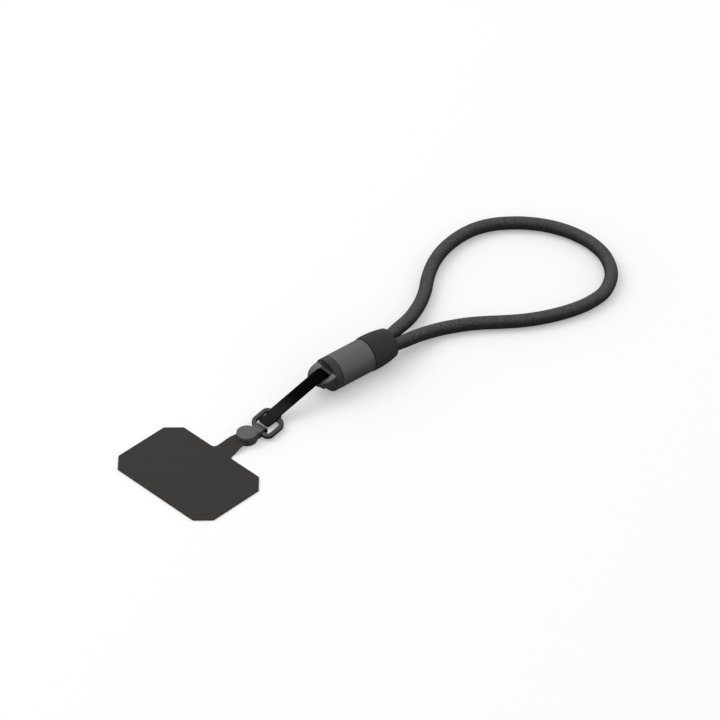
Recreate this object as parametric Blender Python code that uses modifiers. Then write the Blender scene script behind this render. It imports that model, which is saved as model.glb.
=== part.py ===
"""Phone wrist strap, lying on a table as it is put down.

A thin tab goes between a phone and its case. A metal clasp grips the tab's neck and holds a wire
link. A flat band runs from the link up to a metal barrel, and a round braided cord leaves the
barrel's soft boot, goes round as the wrist loop and comes back into the boot.

Metres, +Z up, table at z = 0, +X along the strap from the tab to the loop.
The parts are placed from the boot's mouth back towards the tab.
"""

import math

import bmesh
import bpy
from mathutils import Matrix, Vector

# Running gap that separate pieces keep, and the corners of round shapes
GAP = 0.0003
ROUND_STEPS = 48
SMALL_ROUND_STEPS = 32

# Boot: the soft end piece that the cord comes out of, with its mouth as the strap's fixed point
MOUTH = Vector((0.06905, -0.00544))
BARREL_YAW = math.radians(-5.2)
BOOT_RADIUS = 0.0083
BOOT_START_RADIUS = 0.00815
BOOT_START_ROUND = 0.00025
BOOT_LENGTH = 0.0140
BOOT_MOUTH_RADIUS = 0.0069
BOOT_EDGE_ROUND = 0.0006
GROOVE_DEPTH = 0.00022
GROOVE_WIDTH = 0.0006
GROOVE_PLACES = (0.225, 0.53)
SPIGOT_LENGTH = 0.0060

# Sleeve: a plain metal tube
SLEEVE_RADIUS = 0.0079
SLEEVE_WALL = 0.0009
SLEEVE_LENGTH = 0.01835
SLEEVE_EDGE = 0.0002
SEAM = 0.0003

# Nose cap: a round cap with a flat, tapering tongue that has a slot for the band
CAP_WALL_LENGTH = 0.0029
SHOULDER_LENGTH = 0.0006
SHOULDER_DROP = 0.0006
TONGUE_RADIUS = 0.0070
TONGUE_REACH = 0.0088
TONGUE_TOP_ROOT = 0.0038
TONGUE_TOP_TIP = 0.0012
TONGUE_LOW_ROOT = 0.0025
TONGUE_LOW_TIP = 0.0003
TONGUE_EDGE = 0.0007
SLOT_SETBACK = 0.0011
SLOT_ROOM = 0.0003

# Band: a flat strap with an eye for the link and a tail turned under the tongue
BAND_WIDTH = 0.0062
BAND_THICKNESS = 0.00125
BAND_YAW = math.radians(-4.27)
BAND_SIDE = -0.0008
BAND_SPAN = 0.02794
BAND_EYE_WIDTH = 0.0032
BAND_EYE_WALL = 0.0005
BAND_EYE_SLACK = 0.0012
BAND_FREE_END = 0.0073
BAND_FREE_DROP = 0.0024
BAND_TUCK = 0.0025
BAND_CORNER = 0.0009

# Link: a wire ring with four rounded corners that leans a little, turned from +X
LINK_WIRE = 0.0022
LINK_HALF_LENGTH = 0.0058
LINK_HALF_WIDTH = 0.0062
LINK_CORNER = 0.0030
LINK_LEAN = 0.387
LINK_TURN = math.radians(8)
LINK_BAND_SIDE = 0.0003
LINK_CLASP_SIDE = 0.0009

# Clasp: a thick disc with a pocket for the tab's neck, and an eye that holds the link
CLASP_RADIUS = 0.00465
CLASP_THICKNESS = 0.0045
CLASP_EDGE = 0.0003
EYE_WALL = 0.0006
EYE_WIDTH = 0.0052
EYE_SIDE = -0.0009
EYE_HOLE_LENGTH = 0.0036
EYE_HOLE_HEIGHT = 0.0026
EYE_ROOM = 0.0007
EYE_SETBACK = 0.0053

# Tab: a thin plate with cut corners and a neck that rises into the clasp
TAB_WIDTH = 0.0600
TAB_LENGTH = 0.0397
TAB_THICKNESS = 0.0006
TAB_CHAMFER = 0.0063
TAB_CORNER = 0.0010
NECK_REACH = 0.0141
NECK_BASE_WIDTH = 0.0102
NECK_END_WIDTH = 0.0062
NECK_FILLET = 0.0018
NECK_INSERT = 0.0019
NECK_DRIFT = 0.0003
NECK_FLARE = 0.25
NECK_NEAR_FLARE = 0.08
NECK_BENDS = 8

# Cord: a round braid, pinched a little where it sits in the boot
CORD_DIAMETER = 0.0063
CORD_SEAT_DIAMETER = 0.0055
CORD_SEAT_SPREAD = 0.0058
CORD_SEAT_ROLL = math.radians(13)
CORD_SEAT_DEPTH = 0.0090
CORD_SEAT_TAPER = 0.0080
CORD_STEP = 0.0090

# The cord's way from inside the boot, round the loop and back: points chosen by hand
CORD_ROUTE = (
    (0.0602, -0.0018, 0.0089),
    (0.0690, -0.0026, 0.0089),
    (0.0745, -0.0021, 0.0083),
    (0.0800, -0.0006, 0.0073),
    (0.0906, 0.0027, 0.0051),
    (0.1016, 0.0075, 0.0036),
    (0.1110, 0.0128, 0.00325),
    (0.1198, 0.0193, 0.00325),
    (0.1291, 0.0248, 0.00325),
    (0.1386, 0.0284, 0.00325),
    (0.1478, 0.0300, 0.00325),
    (0.1565, 0.0300, 0.00325),
    (0.1642, 0.0283, 0.00325),
    (0.1710, 0.0249, 0.00325),
    (0.1765, 0.0205, 0.00325),
    (0.1812, 0.0156, 0.00325),
    (0.1860, 0.0086, 0.00325),
    (0.1895, 0.0006, 0.00325),
    (0.1914, -0.0083, 0.00325),
    (0.1914, -0.0181, 0.00325),
    (0.1883, -0.0287, 0.00325),
    (0.1806, -0.0390, 0.00325),
    (0.1694, -0.0452, 0.00325),
    (0.1587, -0.0459, 0.00325),
    (0.1496, -0.0441, 0.00325),
    (0.1412, -0.0410, 0.00325),
    (0.1335, -0.0371, 0.00325),
    (0.1265, -0.0325, 0.00325),
    (0.1201, -0.0273, 0.00325),
    (0.1139, -0.0219, 0.00325),
    (0.1072, -0.0168, 0.00325),
    (0.0990, -0.0121, 0.0033),
    (0.0916, -0.0096, 0.0039),
    (0.0832, -0.0088, 0.0056),
    (0.0748, -0.0086, 0.0071),
    (0.0690, -0.0083, 0.0077),
    (0.0602, -0.0075, 0.0077),
)

# Places that follow from the sizes, in the barrel's own frame: x = 0 at the mouth, -x to the tab
SLEEVE_END = -BOOT_LENGTH - SEAM
SLEEVE_START = SLEEVE_END - SLEEVE_LENGTH
CAP_END = SLEEVE_START - SEAM
CAP_SHOULDER = CAP_END - CAP_WALL_LENGTH
CAP_FACE = CAP_SHOULDER - SHOULDER_LENGTH
BAND_ROOM = BAND_THICKNESS + 2.4 * GAP
SLOT_LENGTH = BAND_ROOM + SLOT_ROOM
SLOT_END = CAP_FACE - SLOT_SETBACK
SLOT_MIDDLE = SLOT_END - SLOT_ROOM - BAND_ROOM / 2
TONGUE_TIP = CAP_FACE - TONGUE_REACH
SPIGOT_RADIUS = SLEEVE_RADIUS - SLEEVE_WALL - GAP
BARREL_HEIGHT = BOOT_RADIUS

# The link lies level at the height of the clasp's eye, which rests on the table
LINK_HEIGHT = EYE_HOLE_HEIGHT / 2 + EYE_WALL
NECK_HEIGHT = CLASP_THICKNESS / 2


def turned_point(middle, along, yaw):
    """Plan point at a distance along a line that leaves the middle at an angle."""
    return middle + Vector((along * math.cos(yaw), along * math.sin(yaw)))


def bar_point(side, across):
    """Place on one of the link's two bars, measured from the link's centre."""
    at = Vector((side * LINK_HALF_LENGTH + LINK_LEAN * across, across))
    return Matrix.Rotation(LINK_TURN, 2) @ at


SLOT_PLACE = turned_point(MOUTH, SLOT_MIDDLE, BARREL_YAW)
SLOT_PLACE = turned_point(SLOT_PLACE, BAND_SIDE, BARREL_YAW + math.pi / 2)
BAND_BAR = turned_point(SLOT_PLACE, -BAND_SPAN, BAND_YAW)
LINK_PLACE = BAND_BAR - bar_point(1, LINK_BAND_SIDE)
LINK_NEAR = LINK_PLACE + bar_point(-1, LINK_CLASP_SIDE)
EYE_HOLE_START = LINK_NEAR.x - LINK_WIRE / 2 - EYE_ROOM
CLASP_PLACE = Vector((EYE_HOLE_START - EYE_SETBACK, LINK_NEAR.y))
NECK_END = CLASP_PLACE.x + NECK_INSERT
PLATE_EDGE = CLASP_PLACE.x - NECK_REACH
PLATE_MIDDLE = PLATE_EDGE - TAB_LENGTH / 2


def start_empty_scene():
    """Remove whatever the scene holds and make the two collections."""
    for old in list(bpy.data.objects):
        bpy.data.objects.remove(old)
    found = []
    for name in ("phone_wrist_strap", "cutters"):
        group = bpy.data.collections.new(name)
        bpy.context.scene.collection.children.link(group)
        found.append(group)
    return found


PARTS, CUTTERS = start_empty_scene()


def empty(name, place, yaw):
    """An axis that pieces hang on."""
    axis = bpy.data.objects.new(name, None)
    axis.location = place
    axis.rotation_euler = (0, 0, yaw)
    PARTS.objects.link(axis)
    return axis


def finish(name, mesh, look, parent=None, turn=None):
    """Make a named piece from a mesh, with its material, on its axis."""
    piece = bpy.data.objects.new(name, mesh)
    PARTS.objects.link(piece)
    mesh.materials.clear()
    mesh.materials.append(look)
    piece.parent = parent
    if turn:
        piece.rotation_euler = turn
    return piece


def cutter(name, mesh, parent=None, place=(0, 0, 0), turn=(0, 0, 0)):
    """Make a hidden solid that only shapes its neighbours."""
    tool = bpy.data.objects.new(name, mesh)
    CUTTERS.objects.link(tool)
    tool.parent = parent
    tool.location = place
    tool.rotation_euler = turn
    tool.hide_render = True
    tool.display_type = "WIRE"
    return tool


def join_or_cut(piece, tool, operation):
    """Add a Boolean to a piece."""
    step = piece.modifiers.new(tool.name, "BOOLEAN")
    step.operation = operation
    step.solver = "EXACT"
    step.object = tool


def surface(name, colour, roughness, metallic):
    """A plain material of one colour."""
    look = bpy.data.materials.new(name)
    look.use_nodes = True
    shader = look.node_tree.nodes["Principled BSDF"]
    shader.inputs["Base Color"].default_value = (*colour, 1)
    shader.inputs["Roughness"].default_value = roughness
    shader.inputs["Metallic"].default_value = metallic
    return look


def curve_to_mesh(curve_data, name):
    """Turn curve data into a closed mesh with its caps welded."""
    holder = bpy.data.objects.new(name + "_curve", curve_data)
    bpy.context.scene.collection.objects.link(holder)
    bpy.context.view_layer.update()
    seen = holder.evaluated_get(bpy.context.evaluated_depsgraph_get())
    mesh = bpy.data.meshes.new_from_object(seen)
    mesh.name = name
    bpy.data.objects.remove(holder)
    work = bmesh.new()
    work.from_mesh(mesh)
    bmesh.ops.remove_doubles(work, verts=work.verts, dist=1e-6)
    bmesh.ops.recalc_face_normals(work, faces=work.faces)
    work.to_mesh(mesh)
    work.free()
    return mesh


def flat_mesh(name, outline, thickness):
    """A flat plate in the XY plane, centred on z = 0, from its outline."""
    data = bpy.data.curves.new(name, "CURVE")
    data.dimensions = "2D"
    data.fill_mode = "BOTH"
    data.extrude = thickness / 2
    edge = data.splines.new("POLY")
    edge.points.add(len(outline) - 1)
    for point, (x, y) in zip(edge.points, outline):
        point.co = (x, y, 0, 1)
    edge.use_cyclic_u = True
    return curve_to_mesh(data, name)


def turned_mesh(name, profile, steps=ROUND_STEPS):
    """A body of revolution round +X. The profile holds (x, radius) from high x to low x outside."""
    mesh = bpy.data.meshes.new(name)
    work = bmesh.new()
    rim = [work.verts.new((radius, 0, along)) for along, radius in profile]
    for low, high in zip(rim, rim[1:]):
        work.edges.new((low, high))
    if profile[0][1] > 0:
        work.edges.new((rim[-1], rim[0]))
    bmesh.ops.spin(
        work,
        geom=work.verts[:] + work.edges[:],
        cent=(0, 0, 0),
        axis=(0, 0, 1),
        angle=math.tau,
        steps=steps,
        use_merge=True,
    )
    bmesh.ops.remove_doubles(work, verts=work.verts, dist=1e-6)
    bmesh.ops.recalc_face_normals(work, faces=work.faces)
    bmesh.ops.rotate(work, verts=work.verts, matrix=Matrix.Rotation(math.pi / 2, 3, "Y"))
    work.to_mesh(mesh)
    work.free()
    return mesh


def stadium(half_length, radius, steps=SMALL_ROUND_STEPS):
    """Outline of an oblong with round ends, its long way along x."""
    straight = max(half_length - radius, 0)
    outline = []
    for side, start in ((1, -math.pi / 2), (-1, math.pi / 2)):
        for step in range(steps // 2 + 1):
            angle = start + math.pi * step / (steps // 2)
            outline.append((side * straight + radius * math.cos(angle), radius * math.sin(angle)))
    return outline


def filleted(corners, steps=4):
    """A path through (x, y, radius) corners with each bend rounded to its radius."""
    path = []
    for index, (x, y, radius) in enumerate(corners):
        here = Vector((x, y))
        if radius <= 0 or index in (0, len(corners) - 1):
            path.append(here)
            continue
        back = (Vector(corners[index - 1][:2]) - here).normalized()
        ahead = (Vector(corners[index + 1][:2]) - here).normalized()
        half_bend = back.angle(ahead) / 2
        reach = radius / math.tan(half_bend)
        middle = here + (back + ahead).normalized() * (radius / math.sin(half_bend))
        first = here + back * reach - middle
        turn = first.angle_signed(here + ahead * reach - middle)
        for step in range(steps + 1):
            spoke = Matrix.Rotation(-turn * step / steps, 2) @ first
            path.append(middle + spoke)
    return path


def smooth_shade(mesh):
    """Smooth round sides, sharp edges."""
    mesh.shade_smooth()
    mesh.set_sharp_from_angle(angle=math.radians(35))


def make_tab(look):
    """Thin plate with cut corners, and the neck that rises from the table into the clasp."""
    half_width = TAB_WIDTH / 2
    low_x = PLATE_MIDDLE - TAB_LENGTH / 2
    base = NECK_BASE_WIDTH / 2
    end = NECK_END_WIDTH / 2
    drift = CLASP_PLACE.y
    half_plate = (
        (low_x, half_width - TAB_CHAMFER, TAB_CORNER),
        (low_x + TAB_CHAMFER, half_width, TAB_CORNER),
        (PLATE_EDGE - TAB_CHAMFER, half_width, TAB_CORNER),
        (PLATE_EDGE, half_width - TAB_CHAMFER, TAB_CORNER),
    )
    corners = [(low_x, 0, 0)]
    corners += half_plate
    corners += [(PLATE_EDGE, base - NECK_DRIFT, NECK_FILLET)]
    corners += [(NECK_END, drift + end, end / 2), (NECK_END, drift - end, end / 2)]
    corners += [(PLATE_EDGE, -base - NECK_DRIFT, NECK_FILLET)]
    corners += [(x, -y, radius) for x, y, radius in reversed(half_plate)]
    corners += [(low_x, 0, 0)]
    outline = filleted(corners)[:-1]
    mesh = flat_mesh("phone_tab", outline, TAB_THICKNESS)

    rise_start = PLATE_EDGE + NECK_FILLET / 2
    rise_end = CLASP_PLACE.x - CLASP_RADIUS
    work = bmesh.new()
    work.from_mesh(mesh)
    for bend in range(NECK_BENDS + 1):
        cut_x = rise_start + (rise_end - rise_start) * bend / NECK_BENDS
        everything = work.verts[:] + work.edges[:] + work.faces[:]
        bmesh.ops.bisect_plane(work, geom=everything, plane_co=(cut_x, 0, 0), plane_no=(1, 0, 0))
    for corner in work.verts:
        share = (corner.co.x - rise_start) / (rise_end - rise_start)
        share = min(max(share, 0), 1)
        lift = share * share * (3 - 2 * share)
        corner.co.z += TAB_THICKNESS / 2 + lift * (NECK_HEIGHT - TAB_THICKNESS / 2)
    work.to_mesh(mesh)
    work.free()
    return finish("phone_tab", mesh, look)


def make_clasp(look):
    """Disc with a pocket for the neck, and the long eye that the link passes through."""
    mesh = bpy.data.meshes.new("clasp")
    work = bmesh.new()
    bmesh.ops.create_cone(
        work,
        cap_ends=True,
        segments=ROUND_STEPS,
        radius1=CLASP_RADIUS,
        radius2=CLASP_RADIUS,
        depth=CLASP_THICKNESS,
    )
    rims = [edge for edge in work.edges if abs(edge.verts[0].co.z - edge.verts[1].co.z) < 1e-9]
    bmesh.ops.bevel(
        work, geom=rims, offset=CLASP_EDGE, segments=2, profile=0.5, affect="EDGES", material=-1
    )
    work.to_mesh(mesh)
    work.free()
    smooth_shade(mesh)
    clasp = finish("clasp", mesh, look)
    clasp.location = (CLASP_PLACE.x, CLASP_PLACE.y, NECK_HEIGHT)

    on_edge = (math.pi / 2, 0, 0)
    eye_end = EYE_HOLE_START + EYE_HOLE_LENGTH + EYE_WALL
    eye_root = CLASP_PLACE.x + CLASP_RADIUS / 2
    eye_outline = stadium((eye_end - eye_root) / 2, EYE_HOLE_HEIGHT / 2 + EYE_WALL)
    eye_mesh = flat_mesh("eye_body", eye_outline, EYE_WIDTH)
    eye_y = CLASP_PLACE.y + EYE_SIDE
    body_place = ((eye_end + eye_root) / 2, eye_y, LINK_HEIGHT)
    join_or_cut(clasp, cutter("eye_body", eye_mesh, None, body_place, on_edge), "UNION")

    hole_outline = stadium(EYE_HOLE_LENGTH / 2, EYE_HOLE_HEIGHT / 2)
    hole_mesh = flat_mesh("eye_hole", hole_outline, 2 * CLASP_RADIUS)
    hole_place = (EYE_HOLE_START + EYE_HOLE_LENGTH / 2, eye_y, LINK_HEIGHT)
    join_or_cut(clasp, cutter("eye_hole", hole_mesh, None, hole_place, on_edge), "DIFFERENCE")

    reach = 2 * CLASP_RADIUS
    pocket_end = NECK_END + GAP
    half = NECK_END_WIDTH / 2 + GAP
    pocket_outline = [
        (pocket_end - reach, -half - reach * NECK_NEAR_FLARE),
        (pocket_end, -half),
        (pocket_end, half),
        (pocket_end - reach, half + reach * NECK_FLARE),
    ]
    pocket_mesh = flat_mesh("neck_pocket", pocket_outline, TAB_THICKNESS + 2 * GAP)
    pocket_place = (0, CLASP_PLACE.y, NECK_HEIGHT)
    join_or_cut(clasp, cutter("neck_pocket", pocket_mesh, None, pocket_place), "DIFFERENCE")
    return clasp


def make_link(look):
    """Wire ring with rounded corners, lying level."""
    length = LINK_HALF_LENGTH
    width = LINK_HALF_WIDTH
    corners = [(0, width, 0)]
    corners += [(x, y, LINK_CORNER) for x, y in ((-length, width), (-length, -width))]
    corners += [(x, y, LINK_CORNER) for x, y in ((length, -width), (length, width))]
    corners += [(0, width, 0)]
    route = filleted(corners, 3)[:-1]
    data = bpy.data.curves.new("link_ring", "CURVE")
    data.dimensions = "3D"
    data.bevel_depth = LINK_WIRE / 2
    data.bevel_resolution = 1
    wire = data.splines.new("POLY")
    wire.points.add(len(route) - 1)
    for point, place in zip(wire.points, route):
        point.co = (place.x + LINK_LEAN * place.y, place.y, 0, 1)
    wire.use_cyclic_u = True
    mesh = curve_to_mesh(data, "link_ring")
    smooth_shade(mesh)
    link = finish("link_ring", mesh, look, turn=(0, 0, LINK_TURN))
    link.location = (LINK_PLACE.x, LINK_PLACE.y, LINK_HEIGHT)
    return link


def tongue_top(along):
    """Height of the tongue's top over the barrel's axis at a distance in front of the face."""
    return TONGUE_TOP_ROOT + (TONGUE_TOP_TIP - TONGUE_TOP_ROOT) * along / TONGUE_REACH


def tongue_low(along):
    """Depth of the tongue's underside below the barrel's axis at a distance in front."""
    return TONGUE_LOW_ROOT + (TONGUE_LOW_TIP - TONGUE_LOW_ROOT) * along / TONGUE_REACH


def make_band(look, line):
    """Flat strap: tail under the tongue, up through the slot, down to the link and its free end."""
    half = BAND_THICKNESS / 2
    off = GAP + half
    slot_front = CAP_FACE - SLOT_MIDDLE
    tuck_low = tongue_low(slot_front + BAND_TUCK)
    tip_x = TONGUE_TIP - SLOT_MIDDLE
    bar_z = LINK_HEIGHT + LINK_WIRE / 2 + off
    free_x = -BAND_SPAN - BAND_FREE_END
    free_z = bar_z - BAND_FREE_DROP
    tight = BAND_THICKNESS * 0.62
    corners = (
        (-BAND_TUCK, BARREL_HEIGHT - tuck_low - off, 0),
        (0, BARREL_HEIGHT - tongue_low(slot_front) - off, tight),
        (0, BARREL_HEIGHT + tongue_top(slot_front) + off, tight),
        (tip_x, BARREL_HEIGHT + tongue_top(TONGUE_REACH) + off, BAND_SPAN / 4),
        (-BAND_SPAN, bar_z, BAND_EYE_WALL * 4),
        (-BAND_SPAN - BAND_FREE_END * 0.38, bar_z - BAND_FREE_DROP * 0.72, BAND_EYE_WALL * 4),
        (free_x, free_z, 0),
    )
    mesh = bpy.data.meshes.new("band")
    work = bmesh.new()
    row = [work.verts.new((point.x, -BAND_WIDTH / 2, point.y)) for point in filleted(corners)]
    for here, ahead in zip(row, row[1:]):
        work.edges.new((here, ahead))
    widened = bmesh.ops.extrude_edge_only(work, edges=work.edges[:])["geom"]
    moved = [item for item in widened if isinstance(item, bmesh.types.BMVert)]
    bmesh.ops.translate(work, verts=moved, vec=(0, BAND_WIDTH, 0))
    end_corners = [vert for vert in work.verts if abs(vert.co.x - free_x) < 1e-7]
    bmesh.ops.bevel(
        work,
        geom=end_corners,
        offset=BAND_CORNER,
        segments=3,
        profile=0.5,
        affect="VERTICES",
        material=-1,
    )
    bmesh.ops.recalc_face_normals(work, faces=work.faces)
    work.to_mesh(mesh)
    work.free()
    band = finish("band", mesh, look, parent=line)
    wall = band.modifiers.new("thickness", "SOLIDIFY")
    wall.thickness = BAND_THICKNESS
    wall.offset = 0
    wall.use_even_offset = True

    eye_x = -BAND_SPAN - BAND_EYE_SLACK / 4
    eye_place = (eye_x, 0, LINK_HEIGHT)
    on_edge = (math.pi / 2, 0, 0)
    hole_radius = LINK_WIRE / 2 + GAP
    hole_half = hole_radius + BAND_EYE_SLACK / 2
    boss_outline = stadium(hole_half + BAND_EYE_WALL, hole_radius + BAND_EYE_WALL)
    boss_mesh = flat_mesh("band_eye", boss_outline, BAND_EYE_WIDTH)
    join_or_cut(band, cutter("band_eye", boss_mesh, line, eye_place, on_edge), "UNION")
    hole_mesh = flat_mesh("band_hole", stadium(hole_half, hole_radius), 2 * BAND_WIDTH)
    join_or_cut(band, cutter("band_hole", hole_mesh, line, eye_place, on_edge), "DIFFERENCE")
    return band


def make_nose_cap(look, barrel):
    """Round cap with a spigot behind and the slotted tongue in front."""
    face_radius = SLEEVE_RADIUS - SHOULDER_DROP
    shoulder = []
    for step in range(4):
        angle = math.pi / 2 * step / 3
        along = CAP_SHOULDER - SHOULDER_LENGTH * math.sin(angle)
        shoulder.append((along, face_radius + SHOULDER_DROP * math.cos(angle)))
    profile = [(CAP_END + SPIGOT_LENGTH, 0), (CAP_END + SPIGOT_LENGTH, SPIGOT_RADIUS)]
    profile += [(CAP_END, SPIGOT_RADIUS), (CAP_END, SLEEVE_RADIUS)]
    profile += shoulder
    profile += [(CAP_FACE, 0)]
    mesh = turned_mesh("nose_cap", profile)
    smooth_shade(mesh)
    cap = finish("nose_cap", mesh, look, parent=barrel)

    round_middle = TONGUE_TIP + TONGUE_RADIUS
    root = CAP_FACE + SHOULDER_LENGTH
    outline = [(root, -TONGUE_RADIUS), (root, TONGUE_RADIUS)]
    for step in range(SMALL_ROUND_STEPS + 1):
        angle = math.pi / 2 + math.pi * step / SMALL_ROUND_STEPS
        x = round_middle + TONGUE_RADIUS * math.cos(angle)
        outline.append((x, TONGUE_RADIUS * math.sin(angle)))
    tongue_mesh = flat_mesh("tongue", outline, TONGUE_RADIUS)
    work = bmesh.new()
    work.from_mesh(tongue_mesh)
    for corner in work.verts:
        along = CAP_FACE - corner.co.x
        corner.co.z = tongue_top(along) if corner.co.z > 0 else -tongue_low(along)
    rims = [edge for edge in work.edges if edge.calc_face_angle(0) > math.radians(60)]
    front = [edge for edge in rims if min(vert.co.x for vert in edge.verts) < CAP_FACE]
    flat = [edge for edge in front if edge.verts[0].co.z * edge.verts[1].co.z > 0]
    bmesh.ops.bevel(
        work, geom=flat, offset=TONGUE_EDGE, segments=2, profile=0.5, affect="EDGES", material=-1
    )
    work.to_mesh(tongue_mesh)
    work.free()
    join_or_cut(cap, cutter("tongue", tongue_mesh, barrel), "UNION")

    side = BAND_WIDTH / 2 + 1.5 * GAP
    slot_outline = [
        (SLOT_END - SLOT_LENGTH, BAND_SIDE - side),
        (SLOT_END, BAND_SIDE - side),
        (SLOT_END, BAND_SIDE + side),
        (SLOT_END - SLOT_LENGTH, BAND_SIDE + side),
    ]
    slot_mesh = flat_mesh("band_slot", slot_outline, 2 * TONGUE_RADIUS)
    join_or_cut(cap, cutter("band_slot", slot_mesh, barrel), "DIFFERENCE")
    return cap


def make_sleeve(look, barrel):
    """Plain metal tube with broken edges."""
    inner = SLEEVE_RADIUS - SLEEVE_WALL
    profile = (
        (SLEEVE_END, SLEEVE_RADIUS - SLEEVE_EDGE),
        (SLEEVE_END - SLEEVE_EDGE, SLEEVE_RADIUS),
        (SLEEVE_START + SLEEVE_EDGE, SLEEVE_RADIUS),
        (SLEEVE_START, SLEEVE_RADIUS - SLEEVE_EDGE),
        (SLEEVE_START, inner),
        (SLEEVE_END, inner),
    )
    mesh = turned_mesh("sleeve", profile)
    smooth_shade(mesh)
    return finish("sleeve", mesh, look, parent=barrel)


def boot_radius(share):
    """Outer radius of the boot: full near the sleeve, then rounding in to the mouth."""
    swell = BOOT_START_RADIUS + (BOOT_RADIUS - BOOT_START_RADIUS) * min(share / 0.15, 1)
    fall = max(share - 0.15, 0) / 0.85
    radius = swell - (BOOT_RADIUS - BOOT_MOUTH_RADIUS) * fall**2.1
    for from_end, edge in ((1 - share, BOOT_EDGE_ROUND), (share, BOOT_START_ROUND)):
        reach = min(BOOT_LENGTH * from_end / edge, 1)
        radius -= edge * (1 - math.sqrt(1 - (1 - reach) ** 2))
    return radius


def make_boot(look, barrel):
    """Soft end piece with two grooves, a spigot in the sleeve and an oblong mouth for the cord."""
    shares = [step / 20 for step in range(21)]
    groove_half = GROOVE_WIDTH / 2 / BOOT_LENGTH
    outer = [(share, 0.0) for share in shares if not near_groove(share, groove_half)]
    for place in GROOVE_PLACES:
        outer += [(place - groove_half, 0.0), (place, GROOVE_DEPTH), (place + groove_half, 0.0)]
    outer.sort(reverse=True)
    edge_share = BOOT_EDGE_ROUND / BOOT_LENGTH
    start_share = BOOT_START_ROUND / BOOT_LENGTH
    outer = [item for item in outer if start_share < item[0] < 1 - edge_share]
    outer = [(1 - edge_share * part, 0.0) for part in (0, 0.1, 0.35, 1)] + outer
    outer += [(start_share * part, 0.0) for part in (1, 0.35, 0)]
    profile = [(0, 0)]
    for share, depth in outer:
        profile.append((-BOOT_LENGTH * (1 - share), boot_radius(share) - depth))
    spigot_end = -BOOT_LENGTH - SPIGOT_LENGTH
    profile += [(-BOOT_LENGTH, SPIGOT_RADIUS), (spigot_end, SPIGOT_RADIUS), (spigot_end, 0)]
    mesh = turned_mesh("boot", profile)
    smooth_shade(mesh)
    boot = finish("boot", mesh, look, parent=barrel)

    hole_radius = CORD_SEAT_DIAMETER / 2 + GAP
    outline = stadium(CORD_SEAT_SPREAD / 2 + hole_radius, hole_radius)
    depth = 2 * (CORD_SEAT_DEPTH + GAP)
    turn = (math.pi / 2, -CORD_SEAT_ROLL, math.pi / 2)
    mouth = cutter("boot_mouth", flat_mesh("boot_mouth", outline, depth), barrel, (0, 0, 0), turn)
    join_or_cut(boot, mouth, "DIFFERENCE")
    return boot


def near_groove(share, groove_half):
    """True where an outline point would crowd a groove."""
    return any(abs(share - place) < 1.6 * groove_half for place in GROOVE_PLACES)


def smooth_route(points, step):
    """Evenly spaced points on one smooth curve through the route's points."""
    route = [Vector(point) for point in points]
    route = [2 * route[0] - route[1]] + route + [2 * route[-1] - route[-2]]
    fine = []
    for before, start, end, after in zip(route, route[1:], route[2:], route[3:]):
        for part in range(20):
            t = part / 20
            line = 2 * start + (end - before) * t
            bend = (2 * before - 5 * start + 4 * end - after) * t**2
            twist = (3 * start - before - 3 * end + after) * t**3
            fine.append((line + bend + twist) / 2)
    fine.append(route[-2])
    lengths = [(b - a).length for a, b in zip(fine, fine[1:])]
    total = sum(lengths)
    count = round(total / step)
    spaced = [fine[0]]
    walked = 0.0
    for point, length in zip(fine[1:], lengths):
        walked += length
        if walked >= total * len(spaced) / count and len(spaced) < count:
            spaced.append(point)
    spaced.append(fine[-1])
    return spaced


def make_cord(look):
    """One round cord from the boot, round the wrist loop and back into the boot."""
    path = smooth_route(CORD_ROUTE, CORD_STEP)
    data = bpy.data.curves.new("wrist_cord", "CURVE")
    data.dimensions = "3D"
    data.bevel_depth = CORD_DIAMETER / 2
    data.bevel_resolution = 3
    data.use_fill_caps = True
    tube = data.splines.new("POLY")
    tube.points.add(len(path) - 1)
    pinch = CORD_SEAT_DIAMETER / CORD_DIAMETER
    for point, place in zip(tube.points, path):
        out = (place.x - MOUTH.x) / CORD_SEAT_TAPER
        share = min(max(out, 0), 1)
        point.co = (*place, 1)
        point.radius = pinch + (1 - pinch) * share
    mesh = curve_to_mesh(data, "wrist_cord")
    smooth_shade(mesh)
    return finish("wrist_cord", mesh, look)


def build():
    """Make every piece of the strap."""
    barrel = empty("barrel_axis", (MOUTH.x, MOUTH.y, BARREL_HEIGHT), BARREL_YAW)
    line = empty("band_line", (SLOT_PLACE.x, SLOT_PLACE.y, 0), BAND_YAW)
    make_tab(surface("tab_sheet", (0.042, 0.040, 0.037), 0.75, 0.0))
    make_clasp(surface("clasp_metal", (0.30, 0.30, 0.30), 0.45, 0.9))
    make_link(surface("link_metal", (0.06, 0.06, 0.062), 0.4, 0.9))
    make_band(surface("band_rubber", (0.012, 0.012, 0.012), 0.6, 0.0), line)
    make_nose_cap(surface("cap_metal", (0.09, 0.09, 0.09), 0.42, 0.9), barrel)
    make_sleeve(surface("sleeve_metal", (0.32, 0.32, 0.32), 0.4, 0.95), barrel)
    make_boot(surface("boot_rubber", (0.045, 0.045, 0.045), 0.55, 0.0), barrel)
    make_cord(surface("cord_braid", (0.030, 0.030, 0.034), 0.85, 0.0))


build()
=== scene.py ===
"""Looks of the phone wrist strap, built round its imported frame.

Metres, +Z up, table at z = 0, +X along the strap from the tab to the wrist loop.
"""

import math

import bmesh
import bpy
from mathutils import Matrix, Vector


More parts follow.
